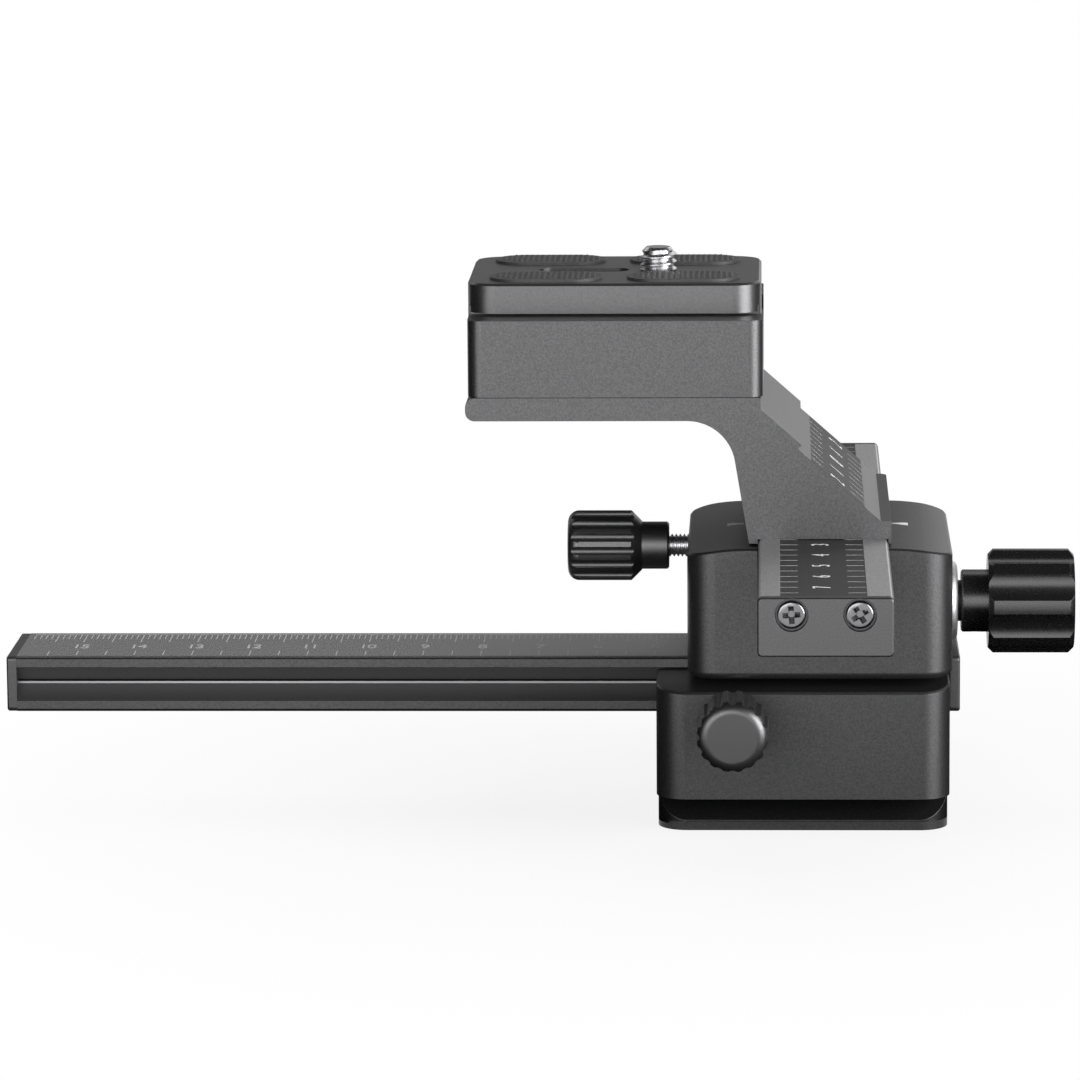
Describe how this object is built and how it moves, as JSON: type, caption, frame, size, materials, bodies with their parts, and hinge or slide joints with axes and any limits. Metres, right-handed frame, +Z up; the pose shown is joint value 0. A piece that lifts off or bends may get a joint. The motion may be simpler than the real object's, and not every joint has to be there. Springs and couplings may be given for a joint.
{
  "type": "two-way macro focusing rail",
  "caption": "Crossed rack-and-pinion slides with fluted drive and lock knobs, a cranked riser and a quick-release camera clamp on a dovetail tripod foot.",
  "frame": {"origin": "centre of the 1/4 inch tripod socket in the foot's underside", "axes": "+Z up; X along the lower rail, +X towards the right-hand drive knob; Y along the upper rail, +Y away from the viewer's view"},
  "size_m": [0.1842, 0.16, 0.098],
  "materials": {
    "anodised_block": "black anodised, fine bead-blasted satin",
    "anodised_bracket": "dark grey anodised, bead-blasted satin",
    "anodised_plate": "black anodised, satin",
    "anodised_rail": "black anodised extrusion",
    "anodised_cap": "dark grey anodised, fine satin",
    "gib_plastic": "black acetal",
    "pad_rubber": "embossed black rubber",
    "knob_black": "black anodised, turned and fluted",
    "bush_steel": "turned steel",
    "collar_black": "black acetal",
    "bright_screw": "bright plated steel",
    "cap_screw_steel": "nickel plated steel",
    "black_screw": "black oxide steel",
    "gear_steel": "bare machined steel"
  },
  "bodies": {
    "base": {"foot_plate": "anodised_block", "foot_screws": "black_screw", "base_block": "anodised_block", "base_gib": "gib_plastic", "base_bush": "bush_steel"},
    "base_lock": {"base_lock_screw": "bright_screw", "base_lock_knob": "knob_black"},
    "base_drive": {"base_pinion": "gear_steel", "base_pinion_shaft": "gear_steel", "base_collar": "collar_black", "base_drive_knob": "knob_black", "base_knob_grub_screw": "black_screw"},
    "lower_slide": {"lower_rail": "anodised_rail", "lower_rack": "gear_steel", "lower_left_cap": "anodised_cap", "lower_right_cap": "anodised_cap", "lower_cap_screws": "cap_screw_steel", "block_screws": "black_screw", "upper_block": "anodised_block", "upper_gib": "gib_plastic", "upper_bush": "bush_steel"},
    "upper_lock": {"upper_lock_screw": "bright_screw", "upper_lock_knob": "knob_black"},
    "upper_drive": {"upper_pinion": "gear_steel", "upper_pinion_shaft": "gear_steel", "upper_collar": "collar_black", "upper_drive_knob": "knob_black", "upper_knob_grub_screw": "black_screw"},
    "upper_slide": {"upper_rail": "anodised_rail", "upper_rack": "gear_steel", "front_cap": "anodised_cap", "rear_cap": "anodised_cap", "upper_cap_screws": "cap_screw_steel", "riser_screws": "black_screw", "riser_bracket": "anodised_bracket", "clamp_screws": "black_screw", "clamp_body": "anodised_bracket", "guide_pins": "bright_screw"},
    "jaw": {"clamp_jaw": "anodised_bracket"},
    "jaw_screw": {"clamp_knob": "knob_black", "clamp_spindle": "bright_screw"},
    "camera_plate": {"qr_plate": "anodised_plate", "rubber_pads": "pad_rubber"},
    "captive_screw": {"camera_screw": "bright_screw", "camera_screw_ring": "bright_screw"}
  },
  "joints": [
    {"name": "lower_rail_slide", "type": "slide", "parent": "base", "child": "lower_slide", "axis": [1, 0, 0], "range_m": [0, 0.1104]},
    {"name": "base_drive_turn", "type": "hinge", "parent": "base", "child": "base_drive", "pos_m": [0, 0, 0.01417], "axis": [0, 1, 0], "range_deg": [-2, 1131.5]},
    {"name": "base_lock_turn", "type": "hinge", "parent": "base", "child": "base_lock", "pos_m": [-0.01185, 0, 0.0216], "axis": [0, -1, 0], "range_deg": [-20, 720]},
    {"name": "upper_rail_slide", "type": "slide", "parent": "lower_slide", "child": "upper_slide", "axis": [0, 1, 0], "range_m": [-0.056, 0.05]},
    {"name": "upper_drive_turn", "type": "hinge", "parent": "lower_slide", "child": "upper_drive", "pos_m": [0.0034, 0, 0.03652], "axis": [1, 0, 0], "range_deg": [-513.6, 575]},
    {"name": "upper_lock_turn", "type": "hinge", "parent": "lower_slide", "child": "upper_lock", "pos_m": [0.0034, 0, 0.0463], "axis": [-1, 0, 0], "range_deg": [-20, 720]},
    {"name": "clamp_jaw_slide", "type": "slide", "parent": "upper_slide", "child": "jaw", "axis": [0, 1, 0], "range_m": [0, 0.0035]},
    {"name": "clamp_knob_turn", "type": "hinge", "parent": "jaw", "child": "jaw_screw", "pos_m": [-0.0317, 0.003, 0.0791], "axis": [0, 1, 0], "range_deg": [-2, 1577]},
    {"name": "plate_slide", "type": "slide", "parent": "upper_slide", "child": "camera_plate", "axis": [1, 0, 0], "range_m": [-0.025, 0.025]},
    {"name": "camera_screw_turn", "type": "hinge", "parent": "camera_plate", "child": "captive_screw", "pos_m": [-0.0248, 0.003, 0.094], "axis": [0, 0, 1], "continuous": true}
  ],
  "couplings": [
    {"joint": "base_drive_turn", "follows": "lower_rail_slide", "rad_per_m": 178.57},
    {"joint": "upper_drive_turn", "follows": "upper_rail_slide", "rad_per_m": -178.57},
    {"joint": "clamp_knob_turn", "follows": "clamp_jaw_slide", "rad_per_m": 7854}
  ]
}
